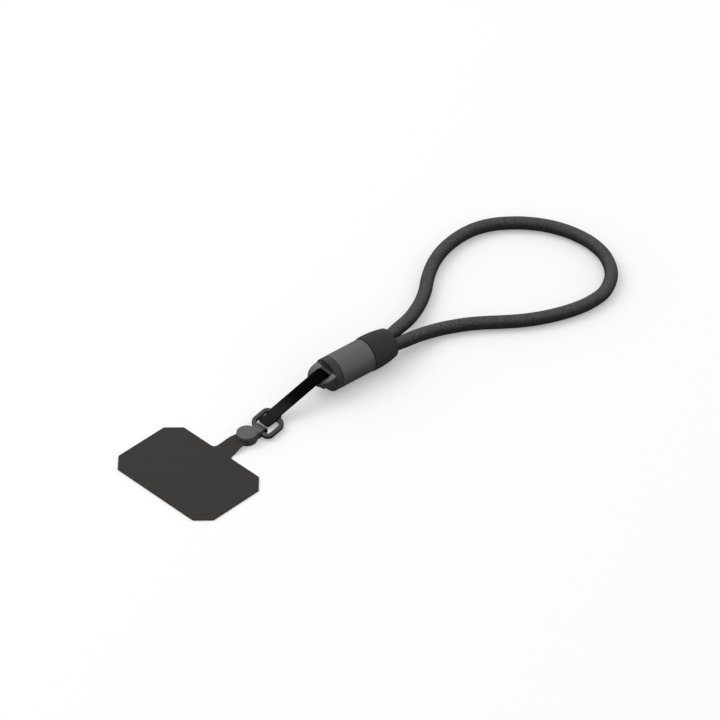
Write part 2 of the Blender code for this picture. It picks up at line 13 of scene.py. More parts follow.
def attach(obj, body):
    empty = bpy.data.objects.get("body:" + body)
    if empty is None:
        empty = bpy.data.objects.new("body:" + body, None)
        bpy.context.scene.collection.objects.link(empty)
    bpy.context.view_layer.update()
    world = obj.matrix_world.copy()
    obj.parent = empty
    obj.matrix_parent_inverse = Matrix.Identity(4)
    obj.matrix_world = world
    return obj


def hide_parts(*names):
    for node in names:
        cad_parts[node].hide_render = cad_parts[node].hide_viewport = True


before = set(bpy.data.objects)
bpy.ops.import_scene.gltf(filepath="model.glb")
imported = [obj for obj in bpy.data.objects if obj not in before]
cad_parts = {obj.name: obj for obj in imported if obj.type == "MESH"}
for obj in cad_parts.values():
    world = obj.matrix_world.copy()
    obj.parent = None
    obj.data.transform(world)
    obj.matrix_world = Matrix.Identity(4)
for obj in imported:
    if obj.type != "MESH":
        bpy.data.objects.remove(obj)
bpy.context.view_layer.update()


# Camera: the photograph's viewpoint, high in front of the tab's near corner, with a long lens.
camera_place = Vector((-0.9953, -1.0428, 1.2123))
camera_target = Vector((0.0582, 0.0021, 0.0))
camera_data = bpy.data.cameras.new("camera")
camera_data.sensor_width = 36
camera_data.lens = 213.35
camera_data.clip_start = 0.05
camera_data.clip_end = 20
camera = bpy.data.objects.new("camera", camera_data)
camera.location = camera_place
camera.rotation_euler = (camera_target - camera_place).to_track_quat("-Z", "Y").to_euler()
bpy.context.scene.collection.objects.link(camera)
bpy.context.scene.camera = camera


# Wrist cord: a round cord with a fine braided jacket of charcoal yarn over a soft core. It is one
# length, with both ends glued side by side in the boot, and the rest of it lies on the table as
# the wrist loop. It is pinched a little in the boot's mouth.
def new_piece(name, work, look, node, sharp):
    """Turn mesh work into a finished piece in place of its CAD node, sharp past so many degrees."""
    mesh = bpy.data.meshes.new(name)
    work.to_mesh(mesh)
    work.free()
    mesh.materials.append(look)
    mesh.shade_smooth()
    mesh.set_sharp_from_angle(angle=math.radians(sharp))
    piece = bpy.data.objects.new(name, mesh)
    bpy.context.scene.collection.objects.link(piece)
    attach(piece, "root")
    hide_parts(node)
    return piece


def new_look(name, specular, metallic=0.0):
    """A material with its shader."""
    look = bpy.data.materials.new(name)
    look.use_nodes = True
    shader = look.node_tree.nodes["Principled BSDF"]
    shader.inputs["Specular IOR Level"].default_value = specular
    shader.inputs["Metallic"].default_value = metallic
    return look, look.node_tree, shader


def calc(tree, operation, *values):
    """One math node, fed with sockets or numbers."""
    node = tree.nodes.new("ShaderNodeMath")
    node.operation = operation
    for socket, value in zip(node.inputs, values):
        if isinstance(value, bpy.types.NodeSocket):
            tree.links.new(value, socket)
        else:
            socket.default_value = value
    return node.outputs[0]


def blend_colours(tree, share, low, high):
    """A colour between two, by a share from 0 to 1."""
    node = tree.nodes.new("ShaderNodeMix")
    node.data_type = "RGBA"
    tree.links.new(share, node.inputs["Factor"])
    node.inputs["A"].default_value = (*low, 1)
    node.inputs["B"].default_value = (*high, 1)
    return node.outputs["Result"]


def bump(tree, shader, height, depth):
    """Surface relief of a depth in metres."""
    node = tree.nodes.new("ShaderNodeBump")
    node.inputs["Distance"].default_value = depth
    tree.links.new(height, node.inputs["Height"])
    tree.links.new(node.outputs["Normal"], shader.inputs["Normal"])


def noise(tree, scale, detail, stretch=(1, 1, 1)):
    """Noise in object space, with the scale in cycles per metre."""
    place = tree.nodes.new("ShaderNodeTexCoord")
    mapping = tree.nodes.new("ShaderNodeMapping")
    mapping.inputs["Scale"].default_value = stretch
    tree.links.new(place.outputs["Object"], mapping.inputs["Vector"])
    node = tree.nodes.new("ShaderNodeTexNoise")
    node.inputs["Scale"].default_value = scale
    node.inputs["Detail"].default_value = detail
    tree.links.new(mapping.outputs["Vector"], node.inputs["Vector"])
    return node.outputs["Fac"]


def toned(tree, colour, level, low, high, under, over):
    """The colour times one share where the level is low and another where it is high."""
    share = tree.nodes.new("ShaderNodeMapRange")
    share.interpolation_type = "SMOOTHSTEP"
    share.inputs["From Min"].default_value = low
    share.inputs["From Max"].default_value = high
    share.inputs["To Min"].default_value = under
    share.inputs["To Max"].default_value = over
    tree.links.new(level, share.inputs["Value"])
    scaled = tree.nodes.new("ShaderNodeVectorMath")
    scaled.operation = "SCALE"
    tree.links.new(colour, scaled.inputs["Vector"])
    tree.links.new(share.outputs["Result"], scaled.inputs["Scale"])
    return scaled.outputs["Vector"]


def object_place(tree):
    """Sockets for the place in the piece's own object space."""
    place = tree.nodes.new("ShaderNodeTexCoord")
    split = tree.nodes.new("ShaderNodeSeparateXYZ")
    tree.links.new(place.outputs["Object"], split.inputs["Vector"])
    return split.outputs["X"], split.outputs["Y"], split.outputs["Z"]


def smooth_route(points, step):
    """Evenly spaced points on one smooth curve through the route's points."""
    route = [Vector(point) for point in points]
    route = [2 * route[0] - route[1]] + route + [2 * route[-1] - route[-2]]
    fine = []
    for before, start, end, after in zip(route, route[1:], route[2:], route[3:]):
        for part in range(20):
            t = part / 20
            line = 2 * start + (end - before) * t
            bend = (2 * before - 5 * start + 4 * end - after) * t**2
            twist = (3 * start - before - 3 * end + after) * t**3
            fine.append((line + bend + twist) / 2)
    fine.append(route[-2])
    total = sum((b - a).length for a, b in zip(fine, fine[1:]))
    count = round(total / step)
    spaced = [fine[0]]
    walked = 0.0
    for start, end in zip(fine, fine[1:]):
        length = (end - start).length
        while len(spaced) < count and walked + length >= total * len(spaced) / count:
            share = (total * len(spaced) / count - walked) / length
            spaced.append(start.lerp(end, share))
        walked += length
    spaced.append(fine[-1])
    return spaced, total


cord_lie = 0.00325
first_leg = (
    (0.0602, -0.0018, 0.0089),
    (0.0690, -0.0026, 0.0089),
    (0.0745, -0.0021, 0.0083),
    (0.0800, -0.0006, 0.0073),
    (0.0906, 0.0027, 0.0051),
    (0.1016, 0.0075, 0.0036),
)
loop_left = ((0.1110, 0.0128), (0.1198, 0.0193), (0.1291, 0.0248), (0.1386, 0.0284))
loop_left += ((0.1478, 0.0300), (0.1565, 0.0300), (0.1642, 0.0283), (0.1710, 0.0249))
loop_end = ((0.1765, 0.0205), (0.1812, 0.0156), (0.1860, 0.0086), (0.1895, 0.0006))
loop_end += ((0.1914, -0.0083), (0.1914, -0.0181), (0.1883, -0.0287), (0.1806, -0.0390))
loop_right = ((0.1694, -0.0452), (0.1587, -0.0459), (0.1496, -0.0441), (0.1412, -0.0410))
loop_right += ((0.1335, -0.0371), (0.1265, -0.0325), (0.1201, -0.0273), (0.1139, -0.0219))
loop_right += ((0.1072, -0.0168),)
second_leg = (
    (0.0990, -0.0121, 0.0033),
    (0.0916, -0.0096, 0.0039),
    (0.0832, -0.0088, 0.0056),
    (0.0748, -0.0086, 0.0071),
    (0.0690, -0.0083, 0.0077),
    (0.0602, -0.0075, 0.0077),
)
loop = tuple((x, y, cord_lie) for x, y in loop_left + loop_end + loop_right)
cord_route = first_leg + loop + second_leg
cord_diameter = 0.0063
cord_seat_diameter = 0.0055
cord_taper = 0.0080
mouth_x = 0.06905
stitches_around = 26
stitch_half_length = 0.00034
stitch_relief = 0.00011
yarn_dark = (0.061, 0.061, 0.064)
yarn_light = (0.118, 0.118, 0.124)
yarn_relief = 0.00006
filaments_across = 3
cord_underside_painted_shade = 0.38
cord_path, cord_length = smooth_route(cord_route, stitch_half_length)
columns = 2 * stitches_around
work = bmesh.new()
braid_uv = work.loops.layers.uv.new("braid")
rings = []
for row, place in enumerate(cord_path):
    ahead = cord_path[min(row + 1, len(cord_path) - 1)] - cord_path[max(row - 1, 0)]
    side = ahead.cross(Vector((0, 0, 1))).normalized()
    up = side.cross(ahead).normalized()
    out = min(max((place.x - mouth_x) / cord_taper, 0), 1)
    pinch = cord_seat_diameter / cord_diameter
    radius = cord_diameter / 2 * (pinch + (1 - pinch) * out)
    ring = []
    for column in range(columns):
        angle = math.tau * column / columns - math.pi / 2
        low = stitch_relief * ((row + column) % 2)
        spoke = side * math.cos(angle) + up * math.sin(angle)
        ring.append(work.verts.new(place + spoke * (radius - low)))
    rings.append(ring)
for row, (near, far) in enumerate(zip(rings, rings[1:])):
    for column in range(columns):
        after = (column + 1) % columns
        corners = [
            (near[column], (column, row)),
            (near[after], (column + 1, row)),
            (far[after], (column + 1, row + 1)),
            (far[column], (column, row + 1)),
        ]
        if (row + column) % 2 == 0:
            corners = corners[1:] + corners[:1]
        for picked in ((0, 1, 2), (0, 2, 3)):
            face = work.faces.new([corners[index][0] for index in picked])
            for loop, index in zip(face.loops, picked):
                loop[braid_uv].uv = corners[index][1]
work.faces.new(reversed(rings[0]))
work.faces.new(rings[-1])
bmesh.ops.recalc_face_normals(work, faces=work.faces)

# Two sets of yarn cross at half a turn. Each stitch has its own tone and fine threads along it,
# and the valley round it is painted dark as painted shade.
look, tree, shader = new_look("braided_cord", 0.1)
shader.inputs["Roughness"].default_value = 0.8
shader.inputs["Sheen Weight"].default_value = 0.05
shader.inputs["Sheen Roughness"].default_value = 0.45
stitch_map = tree.nodes.new("ShaderNodeUVMap")
stitch_map.uv_map = "braid"
split = tree.nodes.new("ShaderNodeSeparateXYZ")
tree.links.new(stitch_map.outputs["UV"], split.inputs["Vector"])
around, along = split.outputs["X"], split.outputs["Y"]
lane = calc(tree, "MULTIPLY", calc(tree, "ADD", around, along), 0.5)
cross_lane = calc(tree, "MULTIPLY", calc(tree, "SUBTRACT", around, along), 0.5)
lane_number = calc(tree, "ROUND", lane)
cross_number = calc(tree, "ROUND", cross_lane)
stitch_number = tree.nodes.new("ShaderNodeCombineXYZ")
tree.links.new(lane_number, stitch_number.inputs["X"])
tree.links.new(cross_number, stitch_number.inputs["Y"])
chance = tree.nodes.new("ShaderNodeTexWhiteNoise")
chance.noise_dimensions = "2D"
tree.links.new(stitch_number.outputs["Vector"], chance.inputs["Vector"])
pair = calc(tree, "ADD", lane_number, cross_number)
over = calc(tree, "ABSOLUTE", calc(tree, "SINE", calc(tree, "MULTIPLY", pair, math.pi / 2)))
filaments = filaments_across * math.tau
lengthwise = calc(tree, "SINE", calc(tree, "MULTIPLY", lane, filaments))
crosswise = calc(tree, "SINE", calc(tree, "MULTIPLY", cross_lane, filaments))
under = calc(tree, "MULTIPLY", calc(tree, "SUBTRACT", 1.0, over), crosswise)
yarn = calc(tree, "MULTIPLY_ADD", over, lengthwise, under)
edge_a = calc(tree, "ABSOLUTE", calc(tree, "SUBTRACT", lane, lane_number))
edge_b = calc(tree, "ABSOLUTE", calc(tree, "SUBTRACT", cross_lane, cross_number))
edge = calc(tree, "MAXIMUM", edge_a, edge_b)
valley = calc(tree, "POWER", calc(tree, "MULTIPLY", edge, 2.0), 3.0)
tone = calc(tree, "POWER", chance.outputs["Value"], 2.0)
tone = calc(tree, "MULTIPLY_ADD", yarn, 0.10, tone)
# Painted shade: the colour is darkened in the valleys between the stitches.
tone = calc(tree, "SUBTRACT", tone, calc(tree, "MULTIPLY", valley, 0.45))
tone = calc(tree, "ADD", tone, calc(tree, "MULTIPLY_ADD", noise(tree, 160, 2), 0.16, -0.06))
tone = calc(tree, "MINIMUM", calc(tree, "MAXIMUM", tone, 0.0), 1.0)
colour = blend_colours(tree, tone, yarn_dark, yarn_light)
# The stitches are counted from the cord's underside, so the cosine tells how far up one lies.
round_turn = calc(tree, "MULTIPLY", around, math.tau / columns)
upward = calc(tree, "MULTIPLY", calc(tree, "COSINE", round_turn), -1.0)
# Painted shade: the jacket is painted darker towards its underside.
colour = toned(tree, colour, upward, 0.2, 1.0, cord_underside_painted_shade, 1.0)
tree.links.new(colour, shader.inputs["Base Color"])
relief = calc(tree, "MULTIPLY_ADD", yarn, 0.18, calc(tree, "SUBTRACT", 1.0, valley))
bump(tree, shader, relief, yarn_relief)
cord = new_piece("wrist_cord_braid", work, look, "wrist_cord", 180)


# Boot: the barrel's soft end piece, moulded in dark rubber. It swells a little over the sleeve,
# has two fine grooves round it, rounds in to its mouth, and grips both legs of the cord.
gap = 0.0003
mouth = Vector((mouth_x, -0.00544, 0.0083))
barrel_turn = Matrix.Rotation(math.radians(-5.2), 4, "Z")
barrel_place = Matrix.Translation(mouth) @ barrel_turn
boot_full_radius = 0.0083
boot_start_radius = 0.00815
boot_start_edge = 0.00025
boot_length = 0.0140
boot_mouth_radius = 0.0069
boot_edge = 0.0006
boot_swell = 0.15
boot_fall_power = 2.1
groove_depth = 0.00022
groove_half = 0.0003
groove_places = (0.225, 0.53)
seat_spread = 0.0058
seat_roll = math.radians(13)
seat_depth = 0.0090
spigot_radius = 0.0067
spigot_length = 0.0060
edge_small = 0.0002
around_steps = 128
rubber_dark = (0.033, 0.033, 0.034)
rubber_light = (0.040, 0.040, 0.041)
rubber_relief = 0.00002
boot_underside_painted_light = 1.6
boot_top_painted_shade = 0.66


def boot_outline(share):
    """Radius of the boot from the sleeve, at 0, to the mouth, at 1."""
    swell = math.sin(min(share / boot_swell, 1) * math.pi / 2)
    radius = boot_start_radius + (boot_full_radius - boot_start_radius) * swell
    fall = max(share - boot_swell, 0) / (1 - boot_swell)
    radius -= (boot_full_radius - boot_mouth_radius) * fall**boot_fall_power
    for from_end, edge in ((1 - share, boot_edge), (share, boot_start_edge)):
        reach = min(boot_length * from_end / edge, 1)
        radius -= edge * (1 - math.sqrt(1 - (1 - reach) ** 2))
    for place in groove_places:
        off = (share - place) * boot_length / groove_half
        if abs(off) < 1:
            radius -= groove_depth * math.cos(off * math.pi / 2) ** 1.5
    return radius


def turned(profile):
    """Mesh work turned round the barrel's axis from (place along it, radius) points."""
    work = bmesh.new()
    points = [work.verts.new((along, radius, 0)) for along, radius in profile]
    lines = [work.edges.new(ends) for ends in zip(points, points[1:])]
    bmesh.ops.spin(
        work,
        geom=points + lines,
        cent=(0, 0, 0),
        axis=(1, 0, 0),
        angle=math.tau,
        steps=around_steps,
        use_merge=True,
    )
    bmesh.ops.transform(work, verts=work.verts, matrix=barrel_place)
    bmesh.ops.remove_doubles(work, verts=work.verts, dist=1e-7)
    bmesh.ops.recalc_face_normals(work, faces=work.faces)
    return work


def seat_ring(along, spread, roll, radius):
    """Points round the barrel's axis, as a circle or spread to the oblong of both cord legs."""
    points = []
    for step in range(around_steps):
        angle = math.tau * step / around_steps
        y = radius * math.cos(angle) + math.copysign(spread / 2, math.cos(angle))
        z = radius * math.sin(angle)
        c, s = math.cos(roll), math.sin(roll)
        points.append(barrel_place @ Vector((along, y * c - z * s, y * s + z * c)))
    return points


def skin(work, rings, cap_first=False, cap_last=False):
    """Faces between one closed ring of points and the next."""
    made = [[work.verts.new(point) for point in ring] for ring in rings]
    for near, far in zip(made, made[1:]):
        for index in range(len(near)):
            after = (index + 1) % len(near)
            work.faces.new((near[index], near[after], far[after], far[index]))
    if cap_first:
        work.faces.new(reversed(made[0]))
    if cap_last:
        work.faces.new(made[-1])


# The outline's points lie closer together at the grooves and at both edges.
shares = [step / 44 for step in range(42)]
for place in groove_places:
    width = groove_half / boot_length
    shares += [place + width * part for part in (-1, -0.7, -0.35, 0, 0.35, 0.7, 1)]
edge_parts = (1, 0.8, 0.6, 0.42, 0.27, 0.15, 0.06, 0.015, 0)
shares += [1 - boot_edge / boot_length * part for part in edge_parts]
shares += [boot_start_edge / boot_length * part for part in edge_parts]
shares = sorted(share for share in set(shares) if share <= 1)
spigot_end = -boot_length - spigot_length
profile = [(spigot_end, 0), (spigot_end, spigot_radius - edge_small)]
profile += [(spigot_end + edge_small, spigot_radius), (-boot_length, spigot_radius)]
profile += [(-boot_length * (1 - share), boot_outline(share)) for share in shares]
work = turned(profile)
hole_radius = cord_seat_diameter / 2 + gap
rings = [
    seat_ring(0, 0, 0, boot_outline(1)),
    seat_ring(0, seat_spread, seat_roll, hole_radius + edge_small / 2),
    seat_ring(-edge_small, seat_spread, seat_roll, hole_radius),
    seat_ring(-seat_depth, seat_spread, seat_roll, hole_radius),
]
skin(work, rings, cap_last=True)
bmesh.ops.remove_doubles(work, verts=work.verts, dist=1e-7)
bmesh.ops.recalc_face_normals(work, faces=work.faces)
look, tree, shader = new_look("moulded_rubber", 0.22)
fine = noise(tree, 2600, 3)
cloud = noise(tree, 220, 2)
colour = blend_colours(tree, cloud, rubber_dark, rubber_light)
_, _, place_z = object_place(tree)
boot_low = mouth.z - boot_full_radius
boot_high = mouth.z + boot_full_radius
# Painted light and shade: the rubber is painted lighter towards the bottom and darker towards the
# top.
colour = toned(tree, colour, place_z, boot_low, boot_high, boot_underside_painted_light, boot_top_painted_shade)
tree.links.new(colour, shader.inputs["Base Color"])
tree.links.new(calc(tree, "MULTIPLY_ADD", cloud, 0.15, 0.45), shader.inputs["Roughness"])
bump(tree, shader, fine, rubber_relief)
new_piece("rubber_boot", work, look, "boot", 50)


# Sleeve: a plain aluminium tube, satin finished, with finely broken edges, between the boot and
# the nose cap. It slides on the spigots of both and is glued.
sleeve_radius = 0.0079
sleeve_length = 0.01835
sleeve_wall = 0.0009
sleeve_edge = 0.00022
sleeve_dark = (0.094, 0.094, 0.094)
sleeve_light = (0.120, 0.120, 0.120)
sleeve_relief = 0.000006
sleeve_end = -boot_length - gap
sleeve_start = sleeve_end - sleeve_length


def round_corner(along, inward, radius, drop, steps):
    """Profile points of a rounded corner, from the end face that it starts on to the side."""
    points = []
    for step in range(steps + 1):
        angle = math.pi / 2 * step / steps
        x = along + inward * (1 - math.cos(angle))
        points.append((x, radius - drop * (1 - math.sin(angle))))
    return points


profile = [(sleeve_end, sleeve_radius - sleeve_wall)]
profile += round_corner(sleeve_end, -sleeve_edge, sleeve_radius, sleeve_edge, 4)
profile += reversed(round_corner(sleeve_start, sleeve_edge, sleeve_radius, sleeve_edge, 4))
profile += [(sleeve_start, sleeve_radius - sleeve_wall), profile[0]]
work = turned(profile)
look, tree, shader = new_look("satin_aluminium", 0.5, metallic=0.35)
streaks = noise(tree, 900, 3, (0.12, 1, 1))
cloud = noise(tree, 90, 2)
colour = blend_colours(tree, cloud, sleeve_dark, sleeve_light)
tree.links.new(colour, shader.inputs["Base Color"])
tree.links.new(calc(tree, "MULTIPLY_ADD", streaks, 0.14, 0.44), shader.inputs["Roughness"])
bump(tree, shader, streaks, sleeve_relief)
new_piece("satin_sleeve", work, look, "sleeve", 50)


# Nose cap: dark anodised metal, turned, with a rounded shoulder. A flat tongue stands out of its
# face, tapers to a thin round tip, and has a slot across its root that the band goes through.
cap_end = sleeve_start - gap
cap_wall_length = 0.0029
shoulder_length = 0.0006
shoulder_drop = 0.0006
tongue_radius = 0.0070
tongue_reach = 0.0088
tongue_top_root = 0.0038
tongue_top_tip = 0.0012
tongue_low_root = 0.0025
tongue_low_tip = 0.0003
tongue_edge = 0.0007
slot_setback = 0.0011
slot_room = 0.0003
band_width = 0.0062
band_thickness = 0.00125
band_side = -0.0008
cap_dark = (0.042, 0.042, 0.042)
cap_light = (0.052, 0.052, 0.052)
tongue_painted_highlight = (0.15, 0.15, 0.15, 1)
cap_relief = 0.000008
cap_underside_painted_light = 1.6
cap_top_painted_shade = 0.6
cap_root_painted_shade = 0.5
side_room = 1.5 * gap
face_room = 1.2 * gap
cap_shoulder = cap_end - cap_wall_length
cap_face = cap_shoulder - shoulder_length
band_room = band_thickness + 2 * face_room
slot_length = band_room + slot_room
slot_end = cap_face - slot_setback
slot_middle = slot_end - slot_room - band_room / 2
tongue_tip = cap_face - tongue_reach


def tongue_top(along):
    """Height of the tongue's top over the barrel's axis at a distance in front of the face."""
    return tongue_top_root + (tongue_top_tip - tongue_top_root) * along / tongue_reach


def tongue_low(along):
    """Depth of the tongue's underside below the barrel's axis at a distance in front."""
    return tongue_low_root + (tongue_low_tip - tongue_low_root) * along / tongue_reach


def solid_from(work, name):
    """A hidden solid for joining and cutting."""
    mesh = bpy.data.meshes.new(name)
    work.to_mesh(mesh)
    work.free()
    made = bpy.data.objects.new(name, mesh)
    bpy.context.scene.collection.objects.link(made)
    return made


def combine(base, tools):
    """Join tools to a base or cut them from it, and return the result as mesh work."""
    for operation, tool in tools:
        step = base.modifiers.new(tool.name, "BOOLEAN")
        step.operation = operation
        step.solver = "EXACT"
        step.object = tool
    bpy.context.view_layer.update()
    seen = base.evaluated_get(bpy.context.evaluated_depsgraph_get())
    work = bmesh.new()
    work.from_mesh(seen.to_mesh())
    for used in [base] + [tool for _, tool in tools]:
        bpy.data.objects.remove(used)
    return work


def plate(outline, low, high):
    """A flat plate from its outline between two heights."""
    work = bmesh.new()
    face = work.faces.new([work.verts.new((x, y, low)) for x, y in outline])
    grown = bmesh.ops.extrude_face_region(work, geom=[face])["geom"]
    moved = [item for item in grown if isinstance(item, bmesh.types.BMVert)]
    bmesh.ops.translate(work, verts=moved, vec=(0, 0, high - low))
    bmesh.ops.recalc_face_normals(work, faces=work.faces)
    return work


def round_off(work, edges, size, steps):
    """Round the edges of mesh work."""
    bmesh.ops.bevel(
        work,
        geom=edges,
        offset=size,
        segments=steps,
        profile=0.5,
        affect="EDGES",
        material=-1,
    )


spigot_end = cap_end + spigot_length
face_radius = sleeve_radius - shoulder_drop
profile = [(spigot_end, 0), (spigot_end, spigot_radius - edge_small)]
profile += [(spigot_end - edge_small, spigot_radius), (cap_end, spigot_radius)]
profile += round_corner(cap_end, -edge_small, sleeve_radius, edge_small, 2)
profile += reversed(round_corner(cap_face, shoulder_length, sleeve_radius, shoulder_drop, 9))
profile += [(cap_face, face_radius / 2), (cap_face, 0)]
cap_body = solid_from(turned(profile), "cap_body")

round_middle = tongue_tip + tongue_radius
root = cap_face + shoulder_length
outline = [(root, -tongue_radius), (root, tongue_radius)]
for step in range(49):
    angle = math.pi / 2 + math.pi * step / 48
    x = round_middle + tongue_radius * math.cos(angle)
    outline.append((x, tongue_radius * math.sin(angle)))
work = plate(outline, -1, 1)
for corner in work.verts:
    along = cap_face - corner.co.x
    corner.co.z = tongue_top(along) if corner.co.z > 0 else -tongue_low(along)
rims = [edge for edge in work.edges if edge.calc_face_angle(0) > math.radians(60)]
front = [edge for edge in rims if min(vert.co.x for vert in edge.verts) < cap_face]
flat = [edge for edge in front if edge.verts[0].co.z * edge.verts[1].co.z > 0]
round_off(work, flat, tongue_edge, 5)
bmesh.ops.transform(work, verts=work.verts, matrix=barrel_place)
tongue = solid_from(work, "tongue")

side = band_width / 2 + side_room
slot_start = slot_end - slot_length
low_y, high_y = band_side - side, band_side + side
outline = [(slot_start, low_y), (slot_end, low_y), (slot_end, high_y), (slot_start, high_y)]
work = plate(outline, -tongue_radius, tongue_radius)
bmesh.ops.transform(work, verts=work.verts, matrix=barrel_place)
band_slot = solid_from(work, "band_slot")
work = combine(cap_body, [("UNION", tongue), ("DIFFERENCE", band_slot)])
look, tree, shader = new_look("dark_anodised_cap", 0.3)
cloud = noise(tree, 300, 3)
fine = noise(tree, 3000, 2)
# The tongue's flats on both sides of the band are painted brighter as a painted highlight, most
# of all near the cap's face. The strip between the slot and the face is painted darker as painted
# shade.
place_x, place_y, place_z = object_place(tree)
ahead = barrel_turn @ Vector((1, 0, 0))
from_x = calc(tree, "SUBTRACT", place_x, mouth.x)
from_y = calc(tree, "SUBTRACT", place_y, mouth.y)
along = calc(tree, "MULTIPLY_ADD", from_x, ahead.x, calc(tree, "MULTIPLY", from_y, ahead.y))
across = calc(tree, "MULTIPLY_ADD", from_y, ahead.x, calc(tree, "MULTIPLY", from_x, -ahead.y))
nearness = calc(tree, "DIVIDE", calc(tree, "SUBTRACT", along, tongue_tip), tongue_reach)
nearness = calc(tree, "MINIMUM", calc(tree, "MAXIMUM", nearness, 0.0), 1.0)
nearness = calc(tree, "POWER", nearness, 1.5)
beside = calc(tree, "ABSOLUTE", calc(tree, "SUBTRACT", across, band_side))
beside = calc(tree, "GREATER_THAN", beside, band_width / 2 + 2 * gap)
on_tongue = calc(tree, "MULTIPLY", calc(tree, "LESS_THAN", along, cap_face), beside)
base = blend_colours(tree, cloud, cap_dark, cap_light)
cap_low = mouth.z - sleeve_radius
cap_high = mouth.z + sleeve_radius
# Painted light and shade: the cap is painted lighter towards the bottom and darker towards the top.
base = toned(tree, base, place_z, cap_low, cap_high, cap_underside_painted_light, cap_top_painted_shade)
painted_shade_behind_slot = calc(tree, "GREATER_THAN", along, slot_middle)
painted_shade_behind_slot = calc(tree, "MULTIPLY", painted_shade_behind_slot, calc(tree, "SUBTRACT", 1.0, beside))
painted_shade_behind_slot = calc(tree, "MULTIPLY", painted_shade_behind_slot, calc(tree, "LESS_THAN", along, cap_face))
# Painted shade: the strip between the slot and the cap's face is painted darker.
base = toned(tree, base, painted_shade_behind_slot, 0, 1, 1.0, cap_root_painted_shade)
fall = (tongue_top_root - tongue_top_tip) / tongue_reach
top_height = calc(tree, "MULTIPLY_ADD", along, fall, mouth.z + tongue_top_root - fall * cap_face)
on_top = calc(tree, "GREATER_THAN", place_z, calc(tree, "SUBTRACT", top_height, tongue_edge / 5))
flat = calc(tree, "MULTIPLY", on_top, on_tongue)
# Painted highlight: the tongue's top flats beside the band are painted brighter towards the face.
mixed = tree.nodes.new("ShaderNodeMix")
mixed.data_type = "RGBA"
tree.links.new(calc(tree, "MULTIPLY", flat, nearness), mixed.inputs["Factor"])
tree.links.new(base, mixed.inputs["A"])
mixed.inputs["B"].default_value = tongue_painted_highlight
tree.links.new(mixed.outputs["Result"], shader.inputs["Base Color"])
tree.links.new(calc(tree, "MULTIPLY_ADD", cloud, 0.15, 0.32), shader.inputs["Roughness"])
bump(tree, shader, fine, cap_relief)
new_piece("anodised_nose_cap", work, look, "nose_cap", 30)


# Band: a flat strap moulded in smooth black rubber. Its tail is turned under the tongue, it comes
# up through the slot and runs down to the link, which an eye moulded under it holds, and its
# short end lies beyond the link with rounded corners.
link_height = 0.0019
link_wire = 0.0022
band_yaw = math.radians(-4.27)
band_span = 0.02794
band_eye_width = 0.0032
band_eye_wall = 0.0005
band_eye_slack = 0.0012
band_free_end = 0.0073
band_free_drop = 0.0024
band_tuck = 0.0025
band_corner = 0.0009
band_edge = 0.0003
tight_bend = 0.62 * band_thickness
easy_bend = 0.0020
free_bend_place = 0.38
free_bend_drop = 0.72
band_dark = (0.012, 0.012, 0.012)
band_light = (0.020, 0.020, 0.020)
band_relief = 0.000008
band_painted_shade_toward_cap = 0.03
slot_place = barrel_place @ Vector((slot_middle, band_side, 0))
band_place = Matrix.Translation((slot_place.x, slot_place.y, 0))
band_place = band_place @ Matrix.Rotation(band_yaw, 4, "Z")


def filleted(corners, steps):
    """A path through (x, y, radius) corners with each bend rounded to its radius."""
    path = []
    for index, (x, y, radius) in enumerate(corners):
        here = Vector((x, y))
        if radius <= 0 or index in (0, len(corners) - 1):
            path.append(here)
            continue
        back = (Vector(corners[index - 1][:2]) - here).normalized()
        ahead = (Vector(corners[index + 1][:2]) - here).normalized()
        half_bend = back.angle(ahead) / 2
        reach = radius / math.tan(half_bend)
        middle = here + (back + ahead).normalized() * (radius / math.sin(half_bend))
        first = here + back * reach - middle
        turn = first.angle_signed(here + ahead * reach - middle)
        for step in range(steps + 1):
            path.append(middle + Matrix.Rotation(-turn * step / steps, 2) @ first)
    return path


half = band_thickness / 2
off = gap + half
slot_front = cap_face - slot_middle
tuck_low = tongue_low(slot_front + band_tuck)
bar_z = link_height + link_wire / 2 + off
free_bend_x = -band_span - band_free_end * free_bend_place
corners = (
    (-band_tuck, mouth.z - tuck_low - off, 0),
    (0, mouth.z - tongue_low(slot_front) - off, tight_bend),
    (0, mouth.z + tongue_top(slot_front) + off, tight_bend),
    (tongue_tip - slot_middle, mouth.z + tongue_top(tongue_reach) + off, band_span / 4),
    (-band_span, bar_z, easy_bend),
    (free_bend_x, bar_z - band_free_drop * free_bend_drop, easy_bend),
    (-band_span - band_free_end, bar_z - band_free_drop, 0),
)
path = filleted(corners, 10)
lengths = [0.0]
for here, ahead in zip(path, path[1:]):
    lengths.append(lengths[-1] + (ahead - here).length)
total = lengths[-1]
for back in (0.9, 0.6, 0.35, 0.17, 0.07, 0.015):
    target = total - band_corner * back
    index = next(i for i, length in enumerate(lengths) if length > target)
    share = (target - lengths[index - 1]) / (lengths[index] - lengths[index - 1])
    path.insert(index, path[index - 1].lerp(path[index], share))
    lengths.insert(index, target)
rings = []
